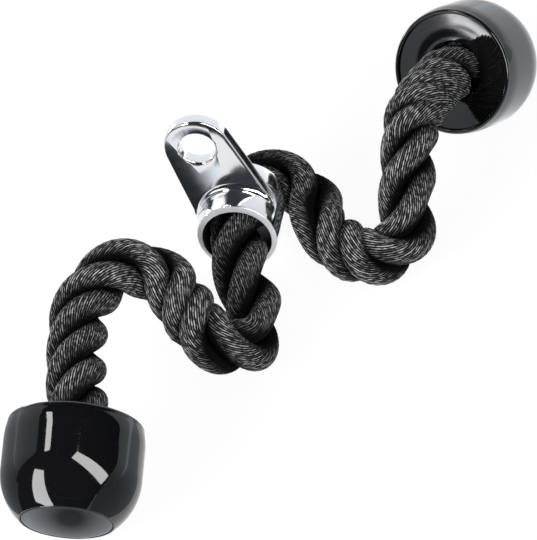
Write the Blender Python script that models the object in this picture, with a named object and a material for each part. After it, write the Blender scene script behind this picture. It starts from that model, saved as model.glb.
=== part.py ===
# Triceps rope attachment: a thick rope threaded through a plated eye, with a moulded knob on each end.
# It lies on a flat surface as it would on a bench. Lengths are in metres, +Z is up, and the origin is on that
# surface, under the middle of the box that the eye and the two knobs fill.
import math

import bmesh
import bpy
import numpy as np
from mathutils import Matrix, Vector

# Rope
ROPE_DIAMETER = 0.0300
TOUCH_GAP = 0.0003            # left between two pieces that touch
ROPE_POINT_SPACING = 0.0078   # along the smooth curve of a free stretch
HELD_IN_SLEEVE = 0.0100       # rope at the middle of the sleeve, between the two free stretches
STRAIGHT_LEAD = 0.0030        # each free stretch starts straight for this far
ROPE_SPLIT_IN_KNOB = 0.0060   # past the knob's mouth, where the free stretch ends and the held end begins

# Cast eye: a sleeve round the rope with a pear-shaped lug standing on it
SLEEVE_CLEARANCE = 0.0060     # by which the bore is wider than the rope
SLEEVE_WALL = 0.0030
SLEEVE_LENGTH = 0.0396
SLEEVE_CROWN = 0.0008         # by which its outside is wider at the lug than at its ends
SLEEVE_END_SLOPE = 0.0017     # how far each end face leans back from the bore to the outside
SLEEVE_RIM_ROUND = 0.0005
LUG_THICKNESS = 0.0075
LUG_REACH = 0.0510            # from the sleeve's axis to the middle of the hole
LUG_END_DIAMETER = 0.0350
LUG_EDGE_ROUND = 0.0012
LUG_FILLET = 0.0036
LUG_LEAN = math.radians(-26.1)
HOLE_DIAMETER = 0.0190
HOLE_EDGE_ROUND = 0.0010
CUTTER_OVERRUN = 0.0030
SLEEVE_PLACE = Vector((-0.02635, 0.04750, 0.0))   # the point on the surface under the sleeve's middle

# Knob, along its axis from the mouth
KNOB_DIAMETER = 0.0700
KNOB_LENGTH = 0.0509          # to the seam round the end plug
KNOB_LIP_DIAMETER = 0.0676
KNOB_WIDEST_DEPTH = 0.0110
KNOB_DOME_DEPTH = 0.0265      # where the straight wall turns into the dome
WALL_POINT_SHARES = (1.0, 0.7, 0.4, 0.15)   # of the way from the lip's round to the widest part
LIP_OUTER_ROUND = 0.0016
LIP_INNER_ROUND = 0.0005
LIP_WIDTH = 0.0027            # from the outside to the crease where the dish starts
LIP_RAMP = 0.0005
DISH_RIM_DEPTH = 0.0019
DISH_DEPTH = 0.0030
DISH_SAG_SHARE = 0.75         # of the dish's depth, reached halfway across it
BORE_EDGE_ROUND = 0.0012
BORE_CLEARANCE = 0.0006
END_LAND = 0.0007             # the shell's narrow end face round the plug

# Pieces inside a knob
PLUG_DIAMETER = 0.0452
PLUG_RIM_THICKNESS = 0.0030
PLUG_RIM_ROUND = 0.0005
PLUG_CROWN = 0.0012
PLUG_WALL = 0.0039
PLUG_CLEARANCE = 0.0030       # from the inside of the plug to the rope's end
SKIRT_WALL = 0.0020
SKIRT_CLEARANCE = 0.0004      # round the ferrule
SKIRT_LENGTH = 0.0097
WASHER_THICKNESS = 0.0025
FERRULE_LENGTH = 0.0180
FERRULE_WALL = 0.0032
CRIMP_DEPTH = 0.0008
CRIMP_WIDTH = 0.0036
CRIMP_PLACE_SHARES = (0.3, 0.7)   # of the ferrule's length
ROPE_END_PROUD = 0.0009       # rope left standing out of the ferrule

# Where the knobs lie, from the point under the sleeve's middle, and which way their closed ends point
LEFT_MOUTH_X = -0.0578
LEFT_MOUTH_Y = -0.1964
LEFT_HEADING = math.radians(178.4)
LEFT_PITCH = math.radians(-26.4)
RIGHT_MOUTH_X = 0.1004
RIGHT_MOUTH_Y = 0.1021
RIGHT_HEADING = math.radians(24.8)
RIGHT_PITCH = math.radians(-24.6)

# The rope's route on each side, from the sleeve to the knob, from the point under the sleeve's middle
LEFT_ROUTE = [
    (0.0040, -0.0368, 0.0175), (0.0110, -0.0563, 0.0160), (0.0165, -0.0768, 0.0155), (0.0135, -0.0978, 0.0170),
    (-0.0010, -0.1058, 0.0270), (-0.0160, -0.0953, 0.0375), (-0.0305, -0.0808, 0.0445), (-0.0480, -0.0803, 0.0505),
    (-0.0635, -0.0963, 0.0480), (-0.0680, -0.1163, 0.0460), (-0.0660, -0.1373, 0.0465), (-0.0635, -0.1588, 0.0485),
]
RIGHT_ROUTE = [
    (0.0004, 0.0209, 0.0206), (0.0109, 0.0338, 0.0199), (0.0274, 0.0327, 0.0166), (0.0351, 0.0235, 0.0154),
    (0.0386, 0.0085, 0.0161), (0.0477, -0.0070, 0.0181), (0.0663, -0.0184, 0.0154), (0.0835, -0.0113, 0.0180),
    (0.0875, 0.0037, 0.0240), (0.0845, 0.0197, 0.0315), (0.0845, 0.0352, 0.0395), (0.0835, 0.0517, 0.0465),
    (0.0875, 0.0682, 0.0510), (0.0940, 0.0847, 0.0505),
]

# How finely round shapes are cut into faces
KNOB_STEPS = 40
HOLE_STEPS = 32
LUG_END_STEPS = 16
LUG_SIDE_STEPS = 7
SLEEVE_STEPS = 24
FILLET_STEPS = 4
CORNER_STEPS = 3
DOME_STEPS = 6
ROPE_BEVEL_STEPS = 4
CURVE_SAMPLES = 40
SAME_POINT = 1e-7
SMOOTH_ANGLE = math.radians(32)

# Worked out from the values above
rope_radius = ROPE_DIAMETER / 2
bore_radius = rope_radius + SLEEVE_CLEARANCE / 2
sleeve_radius = bore_radius + SLEEVE_WALL
barrel_radius = sleeve_radius + SLEEVE_CROWN
knob_bore_radius = rope_radius + BORE_CLEARANCE
rope_end_depth = KNOB_LENGTH - PLUG_WALL - PLUG_CLEARANCE
ferrule_depth = rope_end_depth - ROPE_END_PROUD - FERRULE_LENGTH
ferrule_radius = rope_radius + TOUCH_GAP + FERRULE_WALL
washer_depth = ferrule_depth - TOUCH_GAP - WASHER_THICKNESS
shoulder_depth = washer_depth - TOUCH_GAP
counterbore_radius = ferrule_radius + SKIRT_CLEARANCE + SKIRT_WALL + TOUCH_GAP
plug_radius = PLUG_DIAMETER / 2
recess_radius = plug_radius + TOUCH_GAP
recess_depth = KNOB_LENGTH - PLUG_RIM_THICKNESS - TOUCH_GAP
rope_height_in_sleeve = barrel_radius - bore_radius + TOUCH_GAP + rope_radius


def clear_scene():
    for thing in list(bpy.data.objects):
        bpy.data.objects.remove(thing, do_unlink=True)


def material(name, colour, roughness, metallic):
    made = bpy.data.materials.new(name)
    made.use_nodes = True
    shader = made.node_tree.nodes["Principled BSDF"]
    shader.inputs["Base Color"].default_value = (*colour, 1.0)
    shader.inputs["Roughness"].default_value = roughness
    shader.inputs["Metallic"].default_value = metallic
    made.diffuse_color = (*colour, 1.0)
    return made


def put_in_scene(name, data, finish):
    thing = bpy.data.objects.new(name, data)
    bpy.context.collection.objects.link(thing)
    data.materials.append(finish)
    return thing


def empty_at(name, place):
    holder = bpy.data.objects.new(name, None)
    holder.matrix_world = place
    bpy.context.collection.objects.link(holder)
    return holder


def shade_round(mesh):
    mesh.shade_smooth()
    mesh.set_sharp_from_angle(angle=SMOOTH_ANGLE)


def corner_arc(before, corner, after, radius, steps):
    """Points of a round of this radius in the corner between two straight stretches of an outline."""
    corner = Vector(corner)
    inward = (Vector(before) - corner).normalized()
    outward = (Vector(after) - corner).normalized()
    half = inward.angle(outward) / 2
    reach = radius / math.tan(half)
    centre = corner + (inward + outward).normalized() * (radius / math.sin(half))
    first = corner + inward * reach - centre
    turn = first.angle_signed(corner + outward * reach - centre)
    spin = [Matrix.Rotation(-turn * step / steps, 2) for step in range(steps + 1)]
    return [tuple(centre + rotation @ first) for rotation in spin]


def rounded(corners):
    """An outline from (radius from the axis, place along it, corner round), with its corners rounded."""
    points = []
    for index, (across, along, round_radius) in enumerate(corners):
        if round_radius == 0:
            points.append((across, along))
            continue
        before = corners[index - 1][:2]
        after = corners[(index + 1) % len(corners)][:2]
        points += corner_arc(before, (across, along), after, round_radius, CORNER_STEPS)
    return points


def turned_mesh(name, outline, steps, closed):
    """A solid of revolution about Z. An open outline starts and ends on the axis."""
    shape = bmesh.new()
    ring = [shape.verts.new((across, 0, along)) for across, along in outline]
    edges = [shape.edges.new(pair) for pair in zip(ring, ring[1:])]
    if closed:
        edges.append(shape.edges.new((ring[-1], ring[0])))
    bmesh.ops.spin(shape, geom=ring + edges, cent=(0, 0, 0), axis=(0, 0, 1), angle=math.tau, steps=steps,
                   use_merge=True)
    bmesh.ops.remove_doubles(shape, verts=shape.verts, dist=SAME_POINT)
    bmesh.ops.recalc_face_normals(shape, faces=shape.faces)
    mesh = bpy.data.meshes.new(name)
    shape.to_mesh(mesh)
    shape.free()
    shade_round(mesh)
    return mesh


def pear_outline():
    """Points round the lug and sleeve seen along the sleeve: angle from the lug, distance from the axis."""
    lug_end_radius = LUG_END_DIAMETER / 2
    tangent = math.acos((barrel_radius - lug_end_radius) / LUG_REACH)
    end_start = Vector((math.sin(tangent), math.cos(tangent))) * lug_end_radius + Vector((0, LUG_REACH))
    side_end = Vector((math.sin(tangent), math.cos(tangent))) * barrel_radius
    half = []
    for step in range(LUG_END_STEPS // 2 + 1):
        angle = tangent * step / (LUG_END_STEPS / 2)
        half.append(Vector((math.sin(angle), math.cos(angle))) * lug_end_radius + Vector((0, LUG_REACH)))
    for step in range(1, LUG_SIDE_STEPS + 1):
        half.append(end_start.lerp(side_end, step / LUG_SIDE_STEPS))
    for step in range(1, SLEEVE_STEPS // 2 + 1):
        angle = tangent + (math.pi - tangent) * step / (SLEEVE_STEPS / 2)
        half.append(Vector((math.sin(angle), math.cos(angle))) * barrel_radius)
    whole = half + [Vector((-point.x, point.y)) for point in reversed(half[1:-1])]
    return [(math.atan2(point.x, point.y), point.length) for point in whole]


def quarter(centre, first, last, steps):
    """Points of a quarter round about a centre, from one offset to another square to it."""
    points = []
    for step in range(steps + 1):
        angle = math.pi / 2 * step / steps
        points.append((centre[0] + first[0] * math.cos(angle) + last[0] * math.sin(angle),
                       centre[1] + first[1] * math.cos(angle) + last[1] * math.sin(angle)))
    return points


def casting_section(lug_radius):
    """One cut through the casting, from the sleeve's axis outwards, as (distance from the axis, place along it).

    The lug's height above the sleeve sets its fillets and edge rounds. Where the lug has run out into the
    sleeve, the same points lie evenly along the sleeve's outside, so that one skin covers both.
    """
    fullness = min(1.0, (lug_radius - barrel_radius) / (LUG_FILLET + LUG_EDGE_ROUND))
    ease = fullness * fullness * (3 - 2 * fullness)
    fillet = LUG_FILLET * fullness
    edge = LUG_EDGE_ROUND * fullness
    face = LUG_THICKNESS / 2
    end = SLEEVE_LENGTH / 2
    bore_corner = (bore_radius, -end)
    outer_corner = (sleeve_radius, SLEEVE_END_SLOPE - end)
    barrel_start = (barrel_radius, -face - LUG_FILLET)
    inner = corner_arc((bore_radius, 0), bore_corner, outer_corner, SLEEVE_RIM_ROUND, CORNER_STEPS)
    outer = corner_arc(bore_corner, outer_corner, barrel_start, SLEEVE_RIM_ROUND, CORNER_STEPS)
    lug_side = quarter((barrel_radius + fillet, -face - fillet), (-fillet, 0), (0, fillet), FILLET_STEPS)
    lug_side += quarter((lug_radius - edge, edge - face), (0, -edge), (edge, 0), CORNER_STEPS)
    start = -face - LUG_FILLET
    stop = -face + LUG_EDGE_ROUND
    blended = []
    for index, (across, along) in enumerate(lug_side):
        plain = start + (stop - start) * index / (len(lug_side) - 1)
        blended.append((across, plain + (along - plain) * ease))
    half = inner + outer + blended
    return half + [(across, -along) for across, along in reversed(half)]


def casting_mesh():
    """The skin of the eye, lofted round the sleeve's axis (Y) with the lug standing along Z."""
    shape = bmesh.new()
    rings = []
    for angle, distance in pear_outline():
        section = casting_section(max(distance, barrel_radius))
        ring = [shape.verts.new((across * math.sin(angle), along, across * math.cos(angle)))
                for across, along in section]
        rings.append(ring)
    for ring, following in zip(rings, rings[1:] + rings[:1]):
        for index in range(len(ring)):
            after = (index + 1) % len(ring)
            shape.faces.new((ring[index], ring[after], following[after], following[index]))
    bmesh.ops.recalc_face_normals(shape, faces=shape.faces)
    mesh = bpy.data.meshes.new("eye_casting")
    shape.to_mesh(mesh)
    shape.free()
    shade_round(mesh)
    return mesh


def hole_cutter_mesh():
    """A spool about Z, as wide as the hole inside and flaring over the rounds of its two edges."""
    radius = HOLE_DIAMETER / 2
    face = LUG_THICKNESS / 2
    flare = []
    for step in range(CORNER_STEPS + 1):
        angle = math.pi / 2 * step / (CORNER_STEPS + 1)
        flare.append((radius + HOLE_EDGE_ROUND * (1 - math.cos(angle)),
                      face - HOLE_EDGE_ROUND * (1 - math.sin(angle))))
    last, before = flare[-1], flare[-2]
    rise = (last[1] - before[1]) / (last[0] - before[0])
    flare.append((last[0] + CUTTER_OVERRUN, last[1] + CUTTER_OVERRUN * rise))
    lower = [(across, -along) for across, along in reversed(flare)]
    outline = [(0, lower[0][1])] + lower + flare + [(0, flare[-1][1])]
    return turned_mesh("hole_cutter", outline, HOLE_STEPS, closed=False)


def shell_outline():
    """The knob's shell, cut through from its axis outwards, with the mouth at zero and the dome above it."""
    lip_radius = KNOB_LIP_DIAMETER / 2
    widest = KNOB_DIAMETER / 2
    end_radius = recess_radius + END_LAND
    dish_radius = lip_radius - LIP_WIDTH
    dish_middle = (knob_bore_radius + dish_radius) / 2
    dish_sag = (DISH_DEPTH - DISH_RIM_DEPTH) * DISH_SAG_SHARE
    corners = [
        (knob_bore_radius, shoulder_depth, 0),
        (counterbore_radius, shoulder_depth, 0),
        (counterbore_radius, recess_depth, 0),
        (recess_radius, recess_depth, 0),
        (recess_radius, KNOB_LENGTH, 0),
    ]
    reach = KNOB_LENGTH - KNOB_DOME_DEPTH
    drop = widest - end_radius
    dome_radius = (reach * reach + drop * drop) / (2 * drop)
    sweep = math.asin(reach / dome_radius)
    for step in range(DOME_STEPS, -1, -1):
        angle = sweep * step / DOME_STEPS
        corners.append((widest - dome_radius * (1 - math.cos(angle)),
                        KNOB_DOME_DEPTH + dome_radius * math.sin(angle), 0))
    for share in WALL_POINT_SHARES:
        corners.append((widest - (widest - lip_radius) * (1 - share) ** 2,
                        LIP_OUTER_ROUND + (KNOB_WIDEST_DEPTH - LIP_OUTER_ROUND) * share, 0))
    corners += [
        (lip_radius, 0, LIP_OUTER_ROUND),
        (dish_radius + LIP_RAMP, 0, LIP_INNER_ROUND),
        (dish_radius, DISH_RIM_DEPTH, 0),
        (dish_middle, DISH_RIM_DEPTH + dish_sag, 0),
        (knob_bore_radius, DISH_DEPTH, BORE_EDGE_ROUND),
    ]
    return rounded(corners)


def plug_outline():
    """The end plug, with its thin skirt reaching down round the ferrule."""
    underside = recess_depth + TOUCH_GAP
    inside = KNOB_LENGTH - PLUG_WALL
    skirt_radius = counterbore_radius - TOUCH_GAP
    skirt_end = underside - SKIRT_LENGTH
    crown_radius = (plug_radius * plug_radius + PLUG_CROWN * PLUG_CROWN) / (2 * PLUG_CROWN)
    crown = []
    for step in range(CORNER_STEPS + 1):
        across = plug_radius * step / (CORNER_STEPS + 1)
        sag = crown_radius - math.sqrt(crown_radius * crown_radius - across * across)
        crown.append((across, KNOB_LENGTH + PLUG_CROWN - sag, 0))
    corners = [
        (0, inside, 0),
        (skirt_radius - SKIRT_WALL, inside, 0),
        (skirt_radius - SKIRT_WALL, skirt_end, 0),
        (skirt_radius, skirt_end, 0),
        (skirt_radius, underside, 0),
        (plug_radius, underside, 0),
        (plug_radius, KNOB_LENGTH, PLUG_RIM_ROUND),
    ]
    return rounded(corners + crown[:0:-1]) + [crown[0][:2]]


def washer_outline():
    washer_radius = counterbore_radius - TOUCH_GAP
    top = washer_depth + WASHER_THICKNESS
    return [(knob_bore_radius, washer_depth), (washer_radius, washer_depth), (washer_radius, top),
            (knob_bore_radius, top)]


def ferrule_outline():
    """A plain steel ring pressed onto the rope's end, with the grooves that the press left round it."""
    inner = rope_radius + TOUCH_GAP
    outline = [(inner, ferrule_depth), (ferrule_radius, ferrule_depth)]
    for share in CRIMP_PLACE_SHARES:
        middle = ferrule_depth + FERRULE_LENGTH * share
        outline += [
            (ferrule_radius, middle - CRIMP_WIDTH / 2),
            (ferrule_radius - CRIMP_DEPTH, middle - CRIMP_WIDTH / 4),
            (ferrule_radius - CRIMP_DEPTH, middle + CRIMP_WIDTH / 4),
            (ferrule_radius, middle + CRIMP_WIDTH / 2),
        ]
    end = ferrule_depth + FERRULE_LENGTH
    return outline + [(ferrule_radius, end), (inner, end)]


def resting_height(pitch):
    """How high a knob's mouth stands when the knob lies at this pitch with its widest part on the surface."""
    return max(across * math.cos(pitch) - along * math.sin(pitch) for across, along in shell_outline())


def knob_place(mouth_x, mouth_y, heading, pitch):
    """The middle of the mouth, with +Z along the knob towards its closed end."""
    direction = Vector((math.sin(heading) * math.cos(pitch), math.cos(heading) * math.cos(pitch), math.sin(pitch)))
    mouth = SLEEVE_PLACE + Vector((mouth_x, mouth_y, resting_height(pitch)))
    return Matrix.Translation(mouth) @ direction.to_track_quat("Z", "Y").to_matrix().to_4x4()


def smooth_curve(points, start_direction, end_direction, spacing):
    """Evenly spaced points on the cubic spline through the points, with its direction set at both ends."""
    points = np.array([tuple(point) for point in points])
    spans = np.linalg.norm(np.diff(points, axis=0), axis=1)
    count = len(points)
    system = np.eye(count)
    goal = np.zeros((count, 3))
    goal[0] = start_direction
    goal[-1] = end_direction
    for index in range(1, count - 1):
        before, after = spans[index - 1], spans[index]
        system[index, index - 1:index + 2] = after, 2 * (before + after), before
        goal[index] = 3 * (after / before * (points[index] - points[index - 1])
                           + before / after * (points[index + 1] - points[index]))
    tangents = np.linalg.solve(system, goal)
    share = np.linspace(0, 1, CURVE_SAMPLES)[:, None]
    pieces = []
    for index, span in enumerate(spans):
        pieces.append((2 * share ** 3 - 3 * share ** 2 + 1) * points[index]
                      + (share ** 3 - 2 * share ** 2 + share) * span * tangents[index]
                      + (3 * share ** 2 - 2 * share ** 3) * points[index + 1]
                      + (share ** 3 - share ** 2) * span * tangents[index + 1])
    fine = np.concatenate(pieces)
    run = np.concatenate([[0], np.cumsum(np.linalg.norm(np.diff(fine, axis=0), axis=1))])
    steps = max(2, round(run[-1] / spacing))
    even = np.linspace(0, run[-1], steps + 1)
    return [Vector([np.interp(place, run, fine[:, axis]) for axis in range(3)]) for place in even]


def rope_stretch(name, points, finish):
    """A plain round tube along the points, with flat ends."""
    curve = bpy.data.curves.new(name, "CURVE")
    curve.dimensions = "3D"
    curve.bevel_depth = rope_radius
    curve.bevel_resolution = ROPE_BEVEL_STEPS
    curve.use_fill_caps = True
    spline = curve.splines.new("POLY")
    spline.points.add(len(points) - 1)
    for spline_point, place in zip(spline.points, points):
        spline_point.co = (*place, 1)
    return put_in_scene(name, curve, finish)


def build_eye(finish):
    axis = SLEEVE_PLACE + Vector((0, 0, barrel_radius))
    holder = empty_at("eye_axis", Matrix.Translation(axis) @ Matrix.Rotation(LUG_LEAN, 4, "Y"))
    casting = put_in_scene("eye_casting", casting_mesh(), finish)
    casting.parent = holder
    cutter = put_in_scene("eye_hole_cutter", hole_cutter_mesh(), finish)
    cutter.parent = holder
    cutter.location = (0, 0, LUG_REACH)
    cutter.rotation_euler = (math.pi / 2, 0, 0)
    cutter.hide_render = True
    cutter.display_type = "WIRE"
    hole = casting.modifiers.new("eye_hole", "BOOLEAN")
    hole.operation = "DIFFERENCE"
    hole.solver = "EXACT"
    hole.object = cutter


def build_knob(side, place, finishes):
    """The pieces on one rope end, all turned about the knob's own axis."""
    holder = empty_at(f"{side}_knob_axis", place)
    pieces = {
        "knob_shell": (shell_outline(), True, finishes["knob"]),
        "end_plug": (plug_outline(), False, finishes["knob"]),
        "thrust_washer": (washer_outline(), True, finishes["steel"]),
        "crimp_ferrule": (ferrule_outline(), True, finishes["steel"]),
    }
    for piece, (outline, closed, finish) in pieces.items():
        name = f"{side}_{piece}"
        made = put_in_scene(name, turned_mesh(name, outline, KNOB_STEPS, closed), finish)
        made.parent = holder


def build_rope_side(side, route, away, place, finish):
    """The free stretch from the sleeve to one knob, and the rope's end held in that knob."""
    sleeve_middle = SLEEVE_PLACE + Vector((0, 0, rope_height_in_sleeve))
    half_gap = TOUCH_GAP / 2
    start = sleeve_middle + away * (HELD_IN_SLEEVE / 2 + half_gap)
    inwards = (place.to_3x3() @ Vector((0, 0, 1))).normalized()
    mouth = place.translation
    free_end = mouth + inwards * (ROPE_SPLIT_IN_KNOB - half_gap)
    hand_points = [SLEEVE_PLACE + Vector(point) for point in route]
    bend_start = start + away * STRAIGHT_LEAD
    curve = smooth_curve([bend_start] + hand_points + [mouth], away, inwards, ROPE_POINT_SPACING)
    rope_stretch(f"rope_{side}_free", [start] + curve + [free_end], finish)
    held = [mouth + inwards * (ROPE_SPLIT_IN_KNOB + half_gap), mouth + inwards * rope_end_depth]
    rope_stretch(f"rope_{side}_end", held, finish)


def main():
    clear_scene()
    finishes = {
        "chrome": material("polished_chrome", (0.80, 0.81, 0.83), 0.07, 1.0),
        "knob": material("glossy_black_moulding", (0.010, 0.010, 0.011), 0.10, 0.0),
        "steel": material("zinc_plated_steel", (0.52, 0.53, 0.55), 0.35, 1.0),
        "rope": material("black_filament_rope", (0.022, 0.022, 0.024), 0.45, 0.0),
    }
    along_sleeve = Vector((0, 1, 0))
    build_eye(finishes["chrome"])
    sleeve_middle = SLEEVE_PLACE + Vector((0, 0, rope_height_in_sleeve))
    half_held = (HELD_IN_SLEEVE - TOUCH_GAP) / 2
    rope_stretch("rope_middle", [sleeve_middle - along_sleeve * half_held, sleeve_middle + along_sleeve * half_held],
                 finishes["rope"])
    left_place = knob_place(LEFT_MOUTH_X, LEFT_MOUTH_Y, LEFT_HEADING, LEFT_PITCH)
    right_place = knob_place(RIGHT_MOUTH_X, RIGHT_MOUTH_Y, RIGHT_HEADING, RIGHT_PITCH)
    build_knob("left", left_place, finishes)
    build_knob("right", right_place, finishes)
    build_rope_side("left", LEFT_ROUTE, -along_sleeve, left_place, finishes["rope"])
    build_rope_side("right", RIGHT_ROUTE, along_sleeve, right_place, finishes["rope"])


main()
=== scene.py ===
# The looks of a triceps rope attachment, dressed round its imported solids: a three-strand rope, a chrome eye
# and two black knobs on white paper. Lengths are in metres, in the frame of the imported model.
import math

import bmesh
import bpy
import numpy as np
from mathutils import Matrix, Vector


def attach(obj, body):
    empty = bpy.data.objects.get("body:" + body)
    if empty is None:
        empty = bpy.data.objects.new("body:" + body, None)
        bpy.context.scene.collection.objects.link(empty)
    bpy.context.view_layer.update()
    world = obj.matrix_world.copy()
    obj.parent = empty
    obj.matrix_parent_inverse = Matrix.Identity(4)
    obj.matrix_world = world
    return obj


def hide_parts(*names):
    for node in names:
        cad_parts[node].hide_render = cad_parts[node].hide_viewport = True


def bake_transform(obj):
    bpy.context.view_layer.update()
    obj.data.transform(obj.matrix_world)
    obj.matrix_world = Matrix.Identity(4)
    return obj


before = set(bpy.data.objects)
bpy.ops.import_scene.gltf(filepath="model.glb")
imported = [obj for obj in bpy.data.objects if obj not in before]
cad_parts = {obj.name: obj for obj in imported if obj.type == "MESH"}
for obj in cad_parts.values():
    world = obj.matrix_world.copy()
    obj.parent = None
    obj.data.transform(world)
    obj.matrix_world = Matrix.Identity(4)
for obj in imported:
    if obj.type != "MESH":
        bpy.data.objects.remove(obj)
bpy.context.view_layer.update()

SAME_PLACE = 1e-7                # two points nearer than this are one
SPIN_SEAM = 1e-6                 # points this near are merged where a spin closes

# Where things are
SLEEVE_PLACE = Vector((-0.02635, 0.04750, 0.0))
ROPE_IN_SLEEVE = 0.0191          # height of the rope's middle line in the sleeve
SLEEVE_AXIS_HEIGHT = 0.0218
LEFT_MOUTH = Vector((-0.08415, -0.14890, 0.04644))
LEFT_AXIS = Vector((0.02501, -0.89536, -0.44464))
RIGHT_MOUTH = Vector((0.07405, 0.14960, 0.04574))
RIGHT_AXIS = Vector((0.38138, 0.82538, -0.41628))

# The rope's route on each side, from the point under the sleeve's middle
LEFT_ROUTE = [
    (0.0040, -0.0368, 0.0175), (0.0110, -0.0563, 0.0160), (0.0165, -0.0768, 0.0155),
    (0.0135, -0.0978, 0.0170), (-0.0010, -0.1058, 0.0270), (-0.0160, -0.0953, 0.0375),
    (-0.0305, -0.0808, 0.0445), (-0.0480, -0.0803, 0.0505), (-0.0635, -0.0963, 0.0480),
    (-0.0680, -0.1163, 0.0460), (-0.0660, -0.1373, 0.0465), (-0.0635, -0.1588, 0.0485),
]
RIGHT_ROUTE = [
    (0.0004, 0.0209, 0.0206), (0.0109, 0.0338, 0.0199), (0.0274, 0.0327, 0.0166), (0.0351, 0.0235, 0.0154),
    (0.0386, 0.0085, 0.0161), (0.0477, -0.0070, 0.0181), (0.0663, -0.0184, 0.0154), (0.0835, -0.0113, 0.0180),
    (0.0875, 0.0037, 0.0240), (0.0845, 0.0197, 0.0315), (0.0845, 0.0352, 0.0395), (0.0835, 0.0517, 0.0465),
    (0.0875, 0.0682, 0.0510), (0.0940, 0.0847, 0.0505),
]


# Camera

CAMERA_PLACE = Vector((0.21775, -1.91998, 1.70710))
CAMERA_AIM = Vector((-0.01005, 0.03052, 0.0))
LENS_MM, FILM_WIDTH_MM = 331.4, 36


def add_camera():
    """The camera at the photograph's place: a long lens, 41 degrees above the horizon."""
    lens = bpy.data.cameras.new("photo_camera")
    lens.lens = LENS_MM
    lens.sensor_width = FILM_WIDTH_MM
    camera = bpy.data.objects.new("photo_camera", lens)
    camera.location = CAMERA_PLACE
    camera.rotation_euler = (CAMERA_AIM - CAMERA_PLACE).to_track_quat("-Z", "Y").to_euler()
    bpy.context.scene.collection.objects.link(camera)
    bpy.context.scene.camera = camera


add_camera()


# Rope

STRANDS = 3
STRAND_OFFSET = 0.00825          # from the rope's middle line to a strand's
STRAND_RADIUS = 0.00715          # measured away from the rope's middle line
STRAND_SIDE_RADIUS = 0.00705     # measured across that
YARNS = 32                       # round one strand
YARN_PITCH = 0.047               # along a strand, in which its yarns go round it once
YARN_DEPTH = 0.00050             # of the groove between two yarns
POINTS_PER_YARN = 4
RING_SPACING = 0.0020            # between a strand's rings of points
LINE_SPACING = 0.0010            # between the points of the drawn middle line
SPLINE_STEPS = 60                # in each span of the spline
ROPE_DEPTH_IN_KNOB = 0.0440
HELD_SHARE = 0.978               # of its full size, to which the rope is drawn in where the ferrule holds it
HELD_LENGTH, HELD_EASE = 0.036, 0.006

# How far round the rope its strands have turned, in degrees, at places in millimetres from the sleeve's
# middle. The tables were fitted to where the strands cross in the photograph.
LEFT_LAY = [
    (0, 90), (35, 217), (55, 282), (76, 352), (98, 392), (129, 482), (140, 601), (156, 720), (184, 840),
    (216, 985), (249, 1124), (280, 1248), (302, 1365), (353, 1584),
]
RIGHT_LAY = [
    (0, -390), (60, -181), (75, -140), (88, -126), (98, -102), (114, 26), (127, 151), (147, 263), (178, 368),
    (206, 490), (226, 621), (236, 747), (248, 870), (258, 996), (313, 1232),
]
LAY_EASE = 0.005                 # each corner of the tables is eased over this far on both sides
LAY_EASE_STEPS = 9
STRAIGHT_LEAD = 0.0030           # each free stretch leaves the sleeve straight for this far
HELD_IN_SLEEVE = 0.0100          # rope at the middle of the sleeve, between the two free stretches
HALF_TOUCH_GAP = 0.00015         # half the gap between two solids that touch


def smooth_line(points, first_way, last_way, spacing):
    """Evenly spaced points on the cubic spline through the points, with its direction set at both ends."""
    points = np.array([tuple(point) for point in points])
    spans = np.linalg.norm(np.diff(points, axis=0), axis=1)
    count = len(points)
    system, goal = np.eye(count), np.zeros((count, 3))
    goal[0], goal[-1] = first_way, last_way
    for index in range(1, count - 1):
        before, after = spans[index - 1], spans[index]
        system[index, index - 1:index + 2] = after, 2 * (before + after), before
        goal[index] = 3 * (after / before * (points[index] - points[index - 1])
                           + before / after * (points[index + 1] - points[index]))
    ways = np.linalg.solve(system, goal)
    t = np.linspace(0, 1, SPLINE_STEPS)[:, None]
    fine = np.concatenate([
        (2 * t ** 3 - 3 * t ** 2 + 1) * points[i] + (t ** 3 - 2 * t ** 2 + t) * span * ways[i]
        + (3 * t ** 2 - 2 * t ** 3) * points[i + 1] + (t ** 3 - t ** 2) * span * ways[i + 1]
        for i, span in enumerate(spans)])
    return evenly(fine, spacing)


def run_along(line):
    """How far along the line each of its points is."""
    return np.concatenate([[0], np.cumsum(np.linalg.norm(np.diff(line, axis=0), axis=1))])


def evenly(line, spacing):
    """The same line with its points this far apart."""
    run = run_along(line)
    count = max(3, int(round(run[-1] / spacing)) + 1)
    places = np.linspace(0, run[-1], count)
    return np.stack([np.interp(places, run, line[:, axis]) for axis in range(3)], axis=1)


def unit(rows):
    return rows / np.linalg.norm(rows, axis=-1, keepdims=True)


def untwisted_frames(line):
    """Two directions across the line at each point, carried along it without turning round it."""
    ways = unit(np.gradient(line, axis=0))
    side = np.cross(ways[0], (0.0, 0.0, 1.0))
    sides = []
    for way in ways:
        side = side - way * np.dot(side, way)
        side = side / np.linalg.norm(side)
        sides.append(side)
    sides = np.array(sides)
    return sides, np.cross(ways, sides)


def rope_line(route, away, mouth, inwards):
    """The middle line of one half of the rope, from the sleeve's middle to the rope's end in the knob."""
    middle = np.array(SLEEVE_PLACE + Vector((0, 0, ROPE_IN_SLEEVE)))
    away, mouth, inwards = np.array(away), np.array(mouth), np.array(inwards)
    bend_start = middle + away * (HELD_IN_SLEEVE / 2 + STRAIGHT_LEAD + HALF_TOUCH_GAP)
    points = [bend_start] + [np.array(SLEEVE_PLACE + Vector(point)) for point in route] + [mouth]
    free = smooth_line(points, away, inwards, LINE_SPACING)
    line = np.concatenate([[middle], free, [mouth + inwards * ROPE_DEPTH_IN_KNOB]])
    return evenly(line, RING_SPACING)


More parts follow.
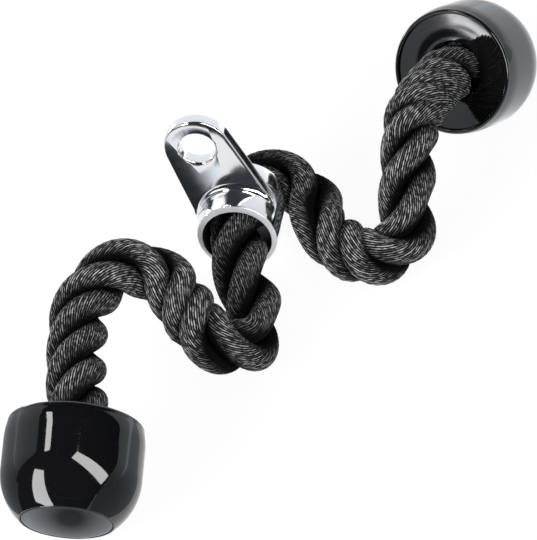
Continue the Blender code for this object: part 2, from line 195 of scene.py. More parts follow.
def lay_along(run, lay):
    """The turn of the strands along the rope, read from a table and eased."""
    places, turns = zip(*lay)
    eased = [np.interp(run + LAY_EASE * share, np.array(places) / 1000, turns)
             for share in np.linspace(-1, 1, LAY_EASE_STEPS)]
    return np.radians(np.mean(eased, axis=0))


def strand_points(line, turn, lay, squeeze):
    """Rings of points round one strand of the rope, and how far along the strand each ring is.

    Each column of points follows one yarn's crest or side, so the mesh itself has the twist of the yarns.
    """
    sides, ups = untwisted_frames(line)
    angle = turn + lay_along(run_along(line), lay)
    out = np.cos(angle)[:, None] * sides + np.sin(angle)[:, None] * ups
    middle = line + out * (STRAND_OFFSET * squeeze)[:, None]
    along = unit(np.gradient(middle, axis=0))
    out = unit(out - along * np.sum(out * along, axis=1)[:, None])
    across = np.cross(along, out)
    strand_run = run_along(middle)
    columns = YARNS * POINTS_PER_YARN
    column = np.arange(columns)
    crest = np.abs(np.sin(math.pi * column / POINTS_PER_YARN))
    turned = math.tau * column[None, :] / columns - math.tau * strand_run[:, None] / YARN_PITCH
    depth = (1 - crest) * YARN_DEPTH
    high = (STRAND_RADIUS * squeeze)[:, None] - depth
    wide = (STRAND_SIDE_RADIUS * squeeze)[:, None] - depth
    rings = (middle[:, None, :] + out[:, None, :] * (high * np.cos(turned))[..., None]
             + across[:, None, :] * (wide * np.sin(turned))[..., None])
    return rings, strand_run


def rope_half(name, line, lay, squeeze):
    """One half of the rope: three twisted strands, each a closed tube, in one mesh."""
    columns = YARNS * POINTS_PER_YARN
    points, faces, map_points = [], [], []
    for strand in range(STRANDS):
        rings, run = strand_points(line, strand * math.tau / STRANDS, lay, squeeze)
        start = len(points)
        points.extend(rings.reshape(-1, 3))
        count = len(rings)
        for ring in range(count - 1):
            for column in range(columns):
                after = (column + 1) % columns
                low, high = start + ring * columns, start + (ring + 1) * columns
                faces.append((low + column, low + after, high + after, high + column))
                u0, u1 = strand + column / columns, strand + (column + 1) / columns
                map_points += [(u0, run[ring]), (u1, run[ring]), (u1, run[ring + 1]), (u0, run[ring + 1])]
        for ring, outwards in ((0, -1), (count - 1, 1)):
            rim = [start + ring * columns + column for column in range(columns)]
            faces.append(tuple(rim[::outwards]))
            map_points += [(strand + 0.5, run[ring])] * columns
    mesh = bpy.data.meshes.new(name)
    mesh.from_pydata([tuple(point) for point in points], [], faces)
    layer = mesh.uv_layers.new(name="yarn_map")
    layer.data.foreach_set("uv", np.array(map_points, np.float32).ravel())
    mesh.shade_smooth()
    mesh.update()
    rope = bpy.data.objects.new(name, mesh)
    bpy.context.scene.collection.objects.link(rope)
    return rope


def squeeze_along(line):
    """The rope's size along it: full outside, and drawn in a little where the knob's ferrule holds it."""
    run = run_along(line)
    from_end = run[-1] - run
    share = np.clip((from_end - HELD_LENGTH) / HELD_EASE, 0, 1)
    return HELD_SHARE + (1 - HELD_SHARE) * share


left_line = rope_line(LEFT_ROUTE, (0, -1, 0), LEFT_MOUTH, LEFT_AXIS)
right_line = rope_line(RIGHT_ROUTE, (0, 1, 0), RIGHT_MOUTH, RIGHT_AXIS)
left_rope = rope_half("rope_left", left_line, LEFT_LAY, squeeze_along(left_line))
right_rope = rope_half("rope_right", right_line, RIGHT_LAY, squeeze_along(right_line))


# Drawing, turning and placing

EYE_SHARP, KNOB_SHARP = 32, 30   # edges that turn by more than this, in degrees, are shaded sharp


def only(thing):
    """Leaves nothing selected but this."""
    if bpy.context.mode != "OBJECT":
        bpy.ops.object.mode_set(mode="OBJECT")
    bpy.ops.object.select_all(action="DESELECT")
    thing.select_set(True)
    bpy.context.view_layer.objects.active = thing


def drawn_line(name, points):
    """A line through the points, drawn in the XZ plane by pulling each point out of the last."""
    bpy.ops.object.select_all(action="DESELECT")
    bpy.ops.mesh.primitive_plane_add(size=0.001)
    line = bpy.context.object
    line.name = line.data.name = name
    bpy.ops.object.mode_set(mode="EDIT")
    bpy.ops.mesh.select_mode(type="VERT")
    bpy.ops.mesh.select_all(action="SELECT")
    bpy.ops.mesh.merge(type="CENTER")
    here = Vector((points[0][0], 0, points[0][1]))
    bpy.ops.transform.translate(value=here)
    for across, along in points[1:]:
        there = Vector((across, 0, along))
        bpy.ops.mesh.extrude_region_move(TRANSFORM_OT_translate={"value": there - here})
        here = there
    return line


def turned(name, points, steps, closed):
    """The line through the points, spun about Z. A closed line is joined to its start first."""
    piece = drawn_line(name, points)
    if closed:
        bpy.ops.mesh.select_all(action="DESELECT")
        bpy.ops.object.mode_set(mode="OBJECT")
        ends = [Vector((across, 0, along)) for across, along in (points[0], points[-1])]
        for point in piece.data.vertices:
            point.select = any((point.co - end).length < SAME_PLACE for end in ends)
        bpy.ops.object.mode_set(mode="EDIT")
        bpy.ops.mesh.edge_face_add()
    bpy.ops.mesh.select_all(action="SELECT")
    bpy.ops.mesh.spin(steps=steps, angle=math.tau, center=(0, 0, 0), axis=(0, 0, 1))
    bpy.ops.mesh.select_all(action="SELECT")
    bpy.ops.mesh.remove_doubles(threshold=SPIN_SEAM)
    bpy.ops.mesh.normals_make_consistent(inside=False)
    bpy.ops.object.mode_set(mode="OBJECT")
    return piece


def put(piece, place):
    """Moves the piece's mesh to its place and leaves its object at the origin."""
    only(piece)
    piece.matrix_world = place
    bpy.ops.object.transform_apply(location=True, rotation=True, scale=True)


def shade(piece, angle):
    """Shades the piece smooth, but sharp where it turns by more than the angle in degrees."""
    only(piece)
    bpy.ops.object.shade_smooth_by_angle(angle=math.radians(angle))


# Eye

BARREL_RADIUS, SLEEVE_CROWN = 0.0218, 0.0008
SLEEVE_RADIUS, SLEEVE_BORE_RADIUS, SLEEVE_LENGTH = 0.0210, 0.0180, 0.0396
SLEEVE_RIM, SLEEVE_END_SLOPE = 0.0005, 0.0017
LUG_THICKNESS, LUG_REACH, LUG_END_RADIUS = 0.0075, 0.0510, 0.0175
LUG_EDGE, LUG_FILLET = 0.0012, 0.0036
LUG_LEAN = math.radians(-26.1)
HOLE_RADIUS, HOLE_EDGE = 0.0095, 0.0010
LUG_END_STEPS, LUG_SIDE_STEPS, BARREL_STEPS = 24, 20, 36
RIM_STEPS, FILLET_STEPS, FACE_STEPS, EDGE_STEPS = 4, 9, 4, 5
HOLE_STEPS = 96
FLARE_POINTS = 7                 # of the hole's rounded edge
FLARE_TURN = 12                  # degrees from each of them to the next
FLARE_PAST_FACE = 0.004          # how far the cutter's flare runs on past the lug's face


def quarter(centre, first, last, steps):
    """A quarter of an ellipse about the centre, from its first to its last half axis."""
    angles = [math.pi / 2 * step / steps for step in range(steps + 1)]
    return [(centre[0] + first[0] * math.cos(a) + last[0] * math.sin(a),
             centre[1] + first[1] * math.cos(a) + last[1] * math.sin(a)) for a in angles]


def corner(before, at, after, radius, steps):
    """A round of this radius in the corner of a drawn line."""
    before, at, after = Vector(before), Vector(at), Vector(after)
    one, two = (before - at).normalized(), (after - at).normalized()
    half = one.angle(two) / 2
    centre = at + (one + two).normalized() * (radius / math.sin(half))
    first = at + one * (radius / math.tan(half)) - centre
    turn = first.angle_signed(at + two * (radius / math.tan(half)) - centre)
    return [tuple(centre + Matrix.Rotation(-turn * step / steps, 2) @ first) for step in range(steps + 1)]


def eye_outline():
    """Points round lug and sleeve, seen along the sleeve: angle from the lug, distance from the axis."""
    tangent = math.acos((BARREL_RADIUS - LUG_END_RADIUS) / LUG_REACH)
    side = np.array((math.sin(tangent), math.cos(tangent)))
    half = []
    for step in range(LUG_END_STEPS + 1):
        angle = tangent * step / LUG_END_STEPS
        half.append(np.array((math.sin(angle), math.cos(angle))) * LUG_END_RADIUS + (0, LUG_REACH))
    first, last = side * LUG_END_RADIUS + (0, LUG_REACH), side * BARREL_RADIUS
    half += [first + (last - first) * step / LUG_SIDE_STEPS for step in range(1, LUG_SIDE_STEPS + 1)]
    for step in range(1, BARREL_STEPS + 1):
        angle = tangent + (math.pi - tangent) * step / BARREL_STEPS
        half.append(np.array((math.sin(angle), math.cos(angle))) * BARREL_RADIUS)
    whole = half + [np.array((-point[0], point[1])) for point in reversed(half[1:-1])]
    return [(math.atan2(x, y), math.hypot(x, y)) for x, y in whole]


def eye_section(reach):
    """A cut through the casting where its outside is this far from the sleeve's axis."""
    fullness = min(1.0, (reach - BARREL_RADIUS) / (LUG_FILLET + LUG_EDGE))
    ease = fullness * fullness * (3 - 2 * fullness)
    fillet, edge = LUG_FILLET * fullness, LUG_EDGE * fullness
    face, end = LUG_THICKNESS / 2, SLEEVE_LENGTH / 2
    start, stop = -face - LUG_FILLET, -face + LUG_EDGE
    bore_corner, outer_corner = (SLEEVE_BORE_RADIUS, -end), (SLEEVE_RADIUS, SLEEVE_END_SLOPE - end)
    barrel = [(BARREL_RADIUS - SLEEVE_CROWN * (1 - share) ** 2,
               outer_corner[1] + (start - outer_corner[1]) * share)
              for share in (0.15, 0.3, 0.45, 0.6, 0.75, 0.88)]
    inner = corner((SLEEVE_BORE_RADIUS, 0), bore_corner, outer_corner, SLEEVE_RIM, RIM_STEPS)
    outer = corner(bore_corner, outer_corner, barrel[0], SLEEVE_RIM, RIM_STEPS)
    lug = quarter((BARREL_RADIUS + fillet, -face - fillet), (-fillet, 0), (0, fillet), FILLET_STEPS)
    low, high = BARREL_RADIUS + fillet, reach - edge
    if high > low:
        lug += [(low + (high - low) * step / FACE_STEPS, -face) for step in range(1, FACE_STEPS)]
    else:
        lug += [(low, -face)] * (FACE_STEPS - 1)
    lug += quarter((reach - edge, edge - face), (0, -edge), (edge, 0), EDGE_STEPS)
    blended = []
    for index, (across, along) in enumerate(lug):
        plain = start + (stop - start) * index / (len(lug) - 1)
        blended.append((across, plain + (along - plain) * ease))
    half = inner + outer + barrel + blended
    return [(SLEEVE_BORE_RADIUS, 0)] + half + [(across, -along) for across, along in reversed(half)]


def eye_skin():
    """One skin over sleeve, fillets and lug.

    The fillet runs out where the lug's sides meet the sleeve, which no bevel gives, so the rings are laid
    here one by one.
    """
    shape = bmesh.new()
    rings = []
    for angle, reach in eye_outline():
        section = eye_section(max(reach, BARREL_RADIUS))
        rings.append([shape.verts.new((across * math.sin(angle), along, across * math.cos(angle)))
                      for across, along in section])
    for ring, following in zip(rings, rings[1:] + rings[:1]):
        for index in range(len(ring)):
            after = (index + 1) % len(ring)
            shape.faces.new((ring[index], ring[after], following[after], following[index]))
    bmesh.ops.remove_doubles(shape, verts=shape.verts, dist=SAME_PLACE)
    bmesh.ops.dissolve_degenerate(shape, edges=shape.edges, dist=SAME_PLACE)
    bmesh.ops.recalc_face_normals(shape, faces=shape.faces)
    mesh = bpy.data.meshes.new("chrome_eye")
    shape.to_mesh(mesh)
    shape.free()
    eye = bpy.data.objects.new("chrome_eye", mesh)
    bpy.context.scene.collection.objects.link(eye)
    return eye


def hole_spool_line():
    """Half the cutter for the lug's hole: straight in the middle and flared at both faces."""
    flare = [(HOLE_RADIUS + HOLE_EDGE * (1 - math.cos(turn)),
              LUG_THICKNESS / 2 - HOLE_EDGE * (1 - math.sin(turn)))
             for turn in (math.radians(FLARE_TURN * step) for step in range(FLARE_POINTS))]
    (last_x, last_z), (next_x, next_z) = flare[-2:]
    steepness = (next_z - last_z) / (next_x - last_x)
    flare.append((next_x + FLARE_PAST_FACE, next_z + FLARE_PAST_FACE * steepness))
    end = flare[-1][1]
    return [(0, -end)] + [(x, -z) for x, z in reversed(flare)] + flare + [(0, end)]


chrome_eye = eye_skin()
spool = turned("hole_spool", hole_spool_line(), HOLE_STEPS, closed=False)
put(spool, Matrix.Translation((0, 0, LUG_REACH)) @ Matrix.Rotation(math.pi / 2, 4, "X"))
only(chrome_eye)
hole = chrome_eye.modifiers.new("hole", "BOOLEAN")
hole.operation = "DIFFERENCE"
hole.solver = "EXACT"
hole.object = spool
bpy.ops.object.modifier_apply(modifier="hole")
bpy.data.objects.remove(spool)
put(chrome_eye, Matrix.Translation(SLEEVE_PLACE + Vector((0, 0, SLEEVE_AXIS_HEIGHT)))
    @ Matrix.Rotation(LUG_LEAN, 4, "Y"))
shade(chrome_eye, EYE_SHARP)


# Knobs

KNOB_STEPS = 192
KNOB_RADIUS, KNOB_LENGTH = 0.0350, 0.0509
WIDEST_DEPTH, DOME_DEPTH = 0.0110, 0.0265
DOME_STEPS = 24
END_RADIUS, END_ROUND = 0.0236, 0.0003       # the narrow end face round the plug
LIP_RADIUS, LIP_OUTER_ROUND = 0.0338, 0.0016
LIP_INNER_RADIUS, LIP_INNER_ROUND = 0.0316, 0.0005
DISH_RADIUS, DISH_RIM_DEPTH, DISH_DEPTH = 0.0311, 0.0019, 0.0030
BORE_RADIUS, BORE_ROUND = 0.0156, 0.0012
SHOULDER_DEPTH, HOLLOW_RADIUS = 0.0220, 0.0212
PLUG_SEAT_DEPTH, PLUG_SEAT_RADIUS = 0.0476, 0.0229
PLUG_RADIUS, PLUG_CROWN, PLUG_ROUND = 0.0226, 0.0012, 0.0005
PLUG_RIM_DEPTH, PLUG_FLOOR_DEPTH = 0.0479, 0.0470
SKIRT_RADIUS, SKIRT_INNER_RADIUS, SKIRT_DEPTH = 0.0209, 0.0189, 0.0382
SHELL_ROUND_STEPS, PLUG_ROUND_STEPS, CROWN_STEPS = 6, 5, 10


def with_rounds(corners, steps):
    """A drawn line through corners, each given as across, along and the radius of its round."""
    line = []
    for index, (across, along, radius) in enumerate(corners):
        if radius == 0:
            line.append((across, along))
        else:
            line += corner(corners[index - 1][:2], (across, along), corners[(index + 1) % len(corners)][:2],
                           radius, steps)
    return line


def knob_shell_line():
    """The shell cut through: bore, counterbore for the plug, end face, dome, wall, lip and dished mouth."""
    flare = KNOB_RADIUS - LIP_RADIUS
    wall = [(KNOB_RADIUS - flare * (1 - share) ** 2,
             LIP_OUTER_ROUND + (WIDEST_DEPTH - LIP_OUTER_ROUND) * share, 0)
            for share in (1.0, 0.85, 0.7, 0.55, 0.4, 0.27, 0.15, 0.06)]
    reach, drop = KNOB_LENGTH - DOME_DEPTH, KNOB_RADIUS - END_RADIUS
    dome_radius = (reach * reach + drop * drop) / (2 * drop)
    sweep = math.asin(reach / dome_radius)
    dome = [(KNOB_RADIUS - dome_radius * (1 - math.cos(sweep * step / DOME_STEPS)),
             DOME_DEPTH + dome_radius * math.sin(sweep * step / DOME_STEPS), 0)
            for step in range(DOME_STEPS, -1, -1)]
    dish = [(DISH_RADIUS - (DISH_RADIUS - BORE_RADIUS) * share,
             DISH_RIM_DEPTH + (DISH_DEPTH - DISH_RIM_DEPTH) * (1 - (1 - share) ** 2), 0)
            for share in (0.25, 0.5, 0.75)]
    corners = [
        (BORE_RADIUS, SHOULDER_DEPTH, 0), (HOLLOW_RADIUS, SHOULDER_DEPTH, 0),
        (HOLLOW_RADIUS, PLUG_SEAT_DEPTH, 0), (PLUG_SEAT_RADIUS, PLUG_SEAT_DEPTH, 0),
        (PLUG_SEAT_RADIUS, KNOB_LENGTH, END_ROUND), *dome, *wall,
        (LIP_RADIUS, 0, LIP_OUTER_ROUND), (LIP_INNER_RADIUS, 0, LIP_INNER_ROUND),
        (DISH_RADIUS, DISH_RIM_DEPTH, 0), *dish, (BORE_RADIUS, DISH_DEPTH, BORE_ROUND),
    ]
    return with_rounds(corners, SHELL_ROUND_STEPS)


def end_plug_line():
    """Half the plug cut through: a slightly domed disc with a skirt that goes into the shell."""
    crown_radius = PLUG_RADIUS ** 2 / (2 * PLUG_CROWN) + PLUG_CROWN / 2
    top = KNOB_LENGTH + PLUG_CROWN
    crown = [(across, top - crown_radius + math.sqrt(crown_radius ** 2 - across ** 2), 0)
             for across in (PLUG_RADIUS * step / CROWN_STEPS for step in range(1, CROWN_STEPS))]
    corners = [
        (0, PLUG_FLOOR_DEPTH, 0), (SKIRT_INNER_RADIUS, PLUG_FLOOR_DEPTH, 0),
        (SKIRT_INNER_RADIUS, SKIRT_DEPTH, 0), (SKIRT_RADIUS, SKIRT_DEPTH, 0),
        (SKIRT_RADIUS, PLUG_RIM_DEPTH, 0), (PLUG_RADIUS, PLUG_RIM_DEPTH, 0),
        (PLUG_RADIUS, KNOB_LENGTH, PLUG_ROUND), *reversed(crown),
    ]
    return with_rounds(corners, PLUG_ROUND_STEPS) + [(0, top)]


def knob_place(mouth, axis):
    """The place of a knob that is drawn upwards from its mouth at the origin."""
    return Matrix.Translation(mouth) @ axis.to_track_quat("Z", "Y").to_matrix().to_4x4()


def copied(piece):
    """A second piece with a mesh of its own."""
    twin = piece.copy()
    twin.data = piece.data.copy()
    bpy.context.scene.collection.objects.link(twin)
    return twin


shell = turned("left_shell", knob_shell_line(), KNOB_STEPS, closed=True)
plug = turned("left_plug", end_plug_line(), KNOB_STEPS, closed=False)
shade(shell, KNOB_SHARP)
shade(plug, KNOB_SHARP)
knobs = {"right": (copied(shell), copied(plug)), "left": (shell, plug)}
for side, mouth, axis in (("right", RIGHT_MOUTH, RIGHT_AXIS), ("left", LEFT_MOUTH, LEFT_AXIS)):
    for piece, what in zip(knobs[side], ("knob", "plug")):
        piece.name = piece.data.name = f"{side}_{what}_look"
        put(piece, knob_place(mouth, axis))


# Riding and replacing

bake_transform(left_rope)
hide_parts("rope_left_free", "rope_left_end", "rope_middle")
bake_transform(right_rope)
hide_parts("rope_right_free", "rope_right_end")
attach(chrome_eye, "eye")
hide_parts("eye_casting")
for side in ("left", "right"):
    shell_piece, plug_piece = knobs[side]
    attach(shell_piece, f"{side}_knob")
    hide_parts(f"{side}_knob_shell")
    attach(plug_piece, f"{side}_knob")
    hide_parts(f"{side}_end_plug")


# Finishes

class Nodes:
    """A material's shader nodes, added and joined by short calls."""

    def __init__(self, name):
        self.material = bpy.data.materials.new(name)
        self.material.use_nodes = True
        self.tree = self.material.node_tree
        self.shader = self.tree.nodes["Principled BSDF"]

    def add(self, kind, **values):
        node = self.tree.nodes.new(kind)
        for key, value in values.items():
            setattr(node, key, value)
        return node

    def join(self, source, target):
        self.tree.links.new(source, target)

    def set_or_join(self, socket, value):
        """Gives the socket a number, or the output of another node."""
        if isinstance(value, bpy.types.NodeSocket):
            self.join(value, socket)
        else:
            socket.default_value = value

    def math(self, operation, *values):
        node = self.add("ShaderNodeMath", operation=operation)
        for socket, value in zip(node.inputs, values):
            self.set_or_join(socket, value)
        return node.outputs[0]

    def distance(self, one, two):
        """The length of a way that goes this far along two axes."""
        squares = self.math("ADD", self.math("MULTIPLY", one, one), self.math("MULTIPLY", two, two))
        return self.math("POWER", squares, 0.5)

    def spread(self, value, from_low, from_high, to_low, to_high):
        """The value carried over from one range to another, and held at its ends."""
        node = self.add("ShaderNodeMapRange")
        for socket, what in zip(node.inputs, (value, from_low, from_high, to_low, to_high)):
            self.set_or_join(socket, what)
        return node.outputs[0]

    def noise(self, place, scale, detail=2.0, roughness=0.5):
        node = self.add("ShaderNodeTexNoise")
        self.join(place, node.inputs["Vector"])
        node.inputs["Scale"].default_value = scale
        node.inputs["Detail"].default_value = detail
        node.inputs["Roughness"].default_value = roughness
        return node.outputs["Fac"]

    def where(self):
        """The place in the frame, in metres, since every piece's own origin is the frame's."""
        return self.add("ShaderNodeTexCoord").outputs["Object"]

    def split(self, place):
        """The outputs X, Y and Z of a place."""
        node = self.add("ShaderNodeSeparateXYZ")
        self.join(place, node.inputs[0])
        return node.outputs

    def shades(self, value, low, high):
        """A colour between the low one at 0 and the high one at 1."""
        node = self.add("ShaderNodeMix", data_type="RGBA")
        self.join(value, node.inputs["Factor"])
        node.inputs["A"].default_value = (*low, 1)
        node.inputs["B"].default_value = (*high, 1)
        return node.outputs["Result"]

    def bump(self, height, strength, distance):
        node = self.add("ShaderNodeBump")
        self.join(height, node.inputs["Height"])
        node.inputs["Strength"].default_value = strength
        node.inputs["Distance"].default_value = distance
        self.join(node.outputs["Normal"], self.shader.inputs["Normal"])


# Painted shade: the near-black colour inside the sleeve's bore
BORE_SHADE_COLOUR = (0.012, 0.012, 0.013, 1)
BORE_ROUGHNESS = 0.6
END_FACES = 0.0179, 0.0183       # the sleeve's end faces begin between these distances from its middle
END_FACE_ROUGHNESS, END_FACE_DULLING = 0.22, 2.8


def chrome_finish():
    """Bright plate, a little soft. The sleeve's end faces are duller and its bore is painted near black and
    dull as shade.
    """
    made = Nodes("polished_chrome")
    place = made.where()
    cloud = made.noise(place, scale=180, detail=3)
    split = made.split(place)
    from_middle = made.math("ABSOLUTE", made.math("SUBTRACT", split["Y"], SLEEVE_PLACE.y))
    from_axis = made.distance(made.math("SUBTRACT", split["X"], SLEEVE_PLACE.x),
                              made.math("SUBTRACT", split["Z"], SLEEVE_AXIS_HEIGHT))
    in_bore = made.spread(from_axis, SLEEVE_BORE_RADIUS + 0.0001, SLEEVE_BORE_RADIUS + 0.0003, 1.0, 0.0)
    # Painted shade: inside the bore the chrome colour gives way to near black, and the metal to dull
    bore_shade_mix = made.add("ShaderNodeMix", data_type="RGBA")
    made.join(in_bore, bore_shade_mix.inputs["Factor"])
    made.join(made.shades(cloud, (0.80, 0.81, 0.83), (0.86, 0.87, 0.89)), bore_shade_mix.inputs["A"])
    bore_shade_mix.inputs["B"].default_value = BORE_SHADE_COLOUR
    made.join(bore_shade_mix.outputs["Result"], made.shader.inputs["Base Color"])
    end_face = made.spread(from_middle, *END_FACES, 0.0, END_FACE_ROUGHNESS)
    made.join(made.math("SUBTRACT", made.math("SUBTRACT", 1.0, in_bore),
                        made.math("MULTIPLY", end_face, END_FACE_DULLING)), made.shader.inputs["Metallic"])
    polish = made.math("ADD", end_face, made.spread(cloud, 0.3, 0.7, 0.10, 0.13))
    made.join(made.math("MAXIMUM", polish, made.math("MULTIPLY", in_bore, BORE_ROUGHNESS)),
              made.shader.inputs["Roughness"])
    made.bump(made.noise(place, scale=90, detail=1), strength=0.10, distance=0.0006)
    return made.material


def moulding_finish():
    """Glossy black moulding with a few faint rubbed specks."""
    made = Nodes("glossy_black_moulding")
    made.shader.inputs["IOR"].default_value = 1.55
    place = made.where()
    specks = made.spread(made.noise(place, scale=900, detail=3, roughness=0.7), 0.60, 0.72, 0.0, 1.0)
    made.join(made.shades(specks, (0.0055, 0.0055, 0.006), (0.013, 0.013, 0.014)),
              made.shader.inputs["Base Color"])
    polish = made.spread(made.noise(place, scale=60, detail=3), 0.3, 0.7, 0.03, 0.06)
    made.join(made.math("ADD", polish, made.math("MULTIPLY", specks, 0.10)), made.shader.inputs["Roughness"])
    made.bump(made.noise(place, scale=45, detail=1), strength=0.05, distance=0.0006)
    return made.material


def steel_finish():
    """Dull zinc plate, on the ferrules and washers inside the knobs."""
    made = Nodes("zinc_plated_steel")
    made.shader.inputs["Metallic"].default_value = 1
    place = made.where()
    cloud = made.noise(place, scale=260, detail=4)
    made.join(made.shades(cloud, (0.44, 0.45, 0.47), (0.58, 0.59, 0.61)), made.shader.inputs["Base Color"])
    made.join(made.spread(cloud, 0.3, 0.7, 0.28, 0.42), made.shader.inputs["Roughness"])
    made.bump(made.noise(place, scale=1500, detail=2), strength=0.15, distance=0.0001)
    return made.material


def rope_finish():
    """Shiny black filament yarn, with painted highlights on its yarn crests and painted shade where the
    strands lean on each other.

    The map runs round a strand in U, a whole number for each, and along it in metres in V.
    """
    made = Nodes("black_filament_rope")
    made.shader.inputs["IOR"].default_value = 1.52
    made.shader.inputs["Specular IOR Level"].default_value = 0.06
    split = made.split(made.add("ShaderNodeUVMap", uv_map="yarn_map").outputs["UV"])
    across = made.math("MULTIPLY", split["X"], YARNS)
    along = made.math("MULTIPLY", split["Y"], 1000)
    in_yarn = made.math("ABSOLUTE", made.math("SUBTRACT", made.math("FRACT", across), 0.5))
    crest = made.spread(in_yarn, 0.36, 0.20, 0.0, 1.0)

    def streaks(scale_along):
        """Noise with one grain to a yarn across it and this many to a millimetre along it."""
        place = made.add("ShaderNodeCombineXYZ")
        made.join(across, place.inputs[0])
        made.join(made.math("MULTIPLY", along, scale_along), place.inputs[1])
        return made.noise(place.outputs[0], scale=1.0, detail=1)

    # How much a place faces out of the rope: painted shade darkens the strands where they lean on each other
    turns = made.math("SUBTRACT", split["X"], made.math("DIVIDE", split["Y"], YARN_PITCH))
    outwards = made.math("COSINE", made.math("MULTIPLY", turns, math.tau))
    painted_shade_factor = made.spread(outwards, 0.10, 1.0, 0.0, 1.0)
    dashes, threads = streaks(0.17), streaks(0.42)
    # Painted highlight: the yarn's colour is lightened on its crests, broken into dashes and threads along
    # each yarn
    light = made.math("MULTIPLY", crest, made.spread(dashes, 0.38, 0.60, 0.50, 1.0))
    light = made.math("MULTIPLY", light, made.spread(threads, 0.42, 0.58, 0.30, 1.20))
    # Painted shade: the painted highlight is taken down to near black on the sides that face into the rope
    light = made.math("POWER", made.math("MULTIPLY", light, painted_shade_factor), 1.45)
    made.join(made.shades(light, (0.0022, 0.0022, 0.0024), (0.68, 0.68, 0.69)),
              made.shader.inputs["Base Color"])
    made.join(made.spread(light, 0.0, 1.0, 0.65, 0.38), made.shader.inputs["Roughness"])
    height = made.math("ADD", made.math("MULTIPLY", crest, 0.8), made.math("MULTIPLY", threads, 0.6))
    height = made.math("ADD", height, made.math("MULTIPLY", dashes, 0.9))
    made.bump(height, strength=1.0, distance=0.00035)
    return made.material


chrome, black, rope_yarn, steel = chrome_finish(), moulding_finish(), rope_finish(), steel_finish()


def dress(piece, material):
    """Gives the piece this one material."""
    piece.data.materials.clear()
    piece.data.materials.append(material)


dress(left_rope, rope_yarn)
dress(right_rope, rope_yarn)
dress(chrome_eye, chrome)
for side in ("left", "right"):
    for piece in knobs[side]:
        dress(piece, black)
    for node in (f"{side}_crimp_ferrule", f"{side}_thrust_washer"):
        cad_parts[node].material_slots[0].material = steel


# Floor, surroundings and light

PAPER_IN_SHADOW, PAPER_GLOW = 0.17, 0.93     # the paper's white that shadows darken, and that they don't
WORLD_SEEN, WORLD_CAST = 1.0, 0.24           # the world is white to look at and lights the scene much less
ROOM_RADIUS = 3.0
ROOM_SEGMENTS, ROOM_RINGS = 180, 90
WALL_FRONT, WALL_BACK = -1.0, 2.7            # along Y, between which the wall's light rises
WALL_DIM, WALL_WHITE = 0.30, 1.05
LOW_CLOTH, MIDDLE_CLOTH, TOP_CLOTH = 0.0005, 0.0006, 0.0008      # heights, so that no two cloths meet

# The pale part of the dark room, as the height in degrees that it reaches at each heading. The room is black
# above it, and black all the way down in front, from -82 to 40 degrees.
PALE_UP_TO = [
    (-180, 62), (-130, 60), (-112, 40), (-90, 38), (-84, 34), (-82, -90), (40, -90), (46, 4), (55, 9),
    (77, 16), (103, 16), (113, 22), (130, 60), (180, 62),
]


def lit_for(tree, lit, unlit):
    """A value that camera, glossy and transmission rays read as lit and all others as unlit."""
    path = tree.nodes.new("ShaderNodeLightPath")
    total = path.outputs["Is Camera Ray"]
    for other in ("Is Glossy Ray", "Is Transmission Ray"):
        both = tree.nodes.new("ShaderNodeMath")
        both.operation = "MAXIMUM"
        tree.links.new(total, both.inputs[0])
        tree.links.new(path.outputs[other], both.inputs[1])
        total = both.outputs[0]
    level = tree.nodes.new("ShaderNodeMapRange")
    tree.links.new(total, level.inputs["Value"])
    level.inputs["To Min"].default_value = unlit
    level.inputs["To Max"].default_value = lit
    return level.outputs[0]


def floor_finish():
    """White paper: a part of its white takes the object's shadow, the rest is white whatever the light."""
    made = Nodes("white_paper")
    made.shader.inputs["Base Color"].default_value = (PAPER_IN_SHADOW, PAPER_IN_SHADOW, PAPER_IN_SHADOW, 1)
    made.shader.inputs["Roughness"].default_value = 1
    made.shader.inputs["Specular IOR Level"].default_value = 0
    made.shader.inputs["Emission Color"].default_value = (1, 1, 1, 1)
    made.join(lit_for(made.tree, PAPER_GLOW, 0.0), made.shader.inputs["Emission Strength"])
    return made.material


def shining(name, tint):
    """A black material that only gives light. The caller sets how much."""
    made = Nodes(name)
    made.shader.inputs["Base Color"].default_value = (0, 0, 0, 1)
    made.shader.inputs["Specular IOR Level"].default_value = 0
    made.shader.inputs["Emission Color"].default_value = (*tint, 1)
    return made


def glow(name, strength, tint=(1, 1, 1)):
    """A material that gives the same light everywhere."""
    made = shining(name, tint)
    made.shader.inputs["Roughness"].default_value = 1
    made.shader.inputs["Emission Strength"].default_value = strength
    return made.material


def only_reflected(piece):
    """Shows the piece in reflections and nowhere else."""
    piece.visible_camera = piece.visible_diffuse = piece.visible_shadow = False
    piece.visible_transmission = piece.visible_volume_scatter = False


def card(name, corners, material):
    """A flat card with these corners, seen only in reflections."""
    bpy.ops.object.select_all(action="DESELECT")
    bpy.ops.mesh.primitive_circle_add(vertices=len(corners), fill_type="NGON")
    made = bpy.context.object
    made.name = made.data.name = name
    for point, place in zip(made.data.vertices, corners):
        point.co = place
    made.data.materials.append(material)
    only_reflected(made)


def seen_from(place, heading, height, distance):
    """The point at this distance from the place, at a heading from -Y towards +X and a height in degrees."""
    turn, rise = math.radians(heading), math.radians(height)
    way = Vector((math.sin(turn) * math.cos(rise), -math.cos(turn) * math.cos(rise), math.sin(rise)))
    return Vector(place) + distance * way


def wall_finish():
    """The room's pale part: dim in front and white at the back."""
    made = shining("pale_wall", (0.95, 0.98, 1))
    front_to_back = made.split(made.where())["Y"]
    made.join(made.spread(front_to_back, WALL_FRONT, WALL_BACK, WALL_DIM, WALL_WHITE),
              made.shader.inputs["Emission Strength"])
    return made.material


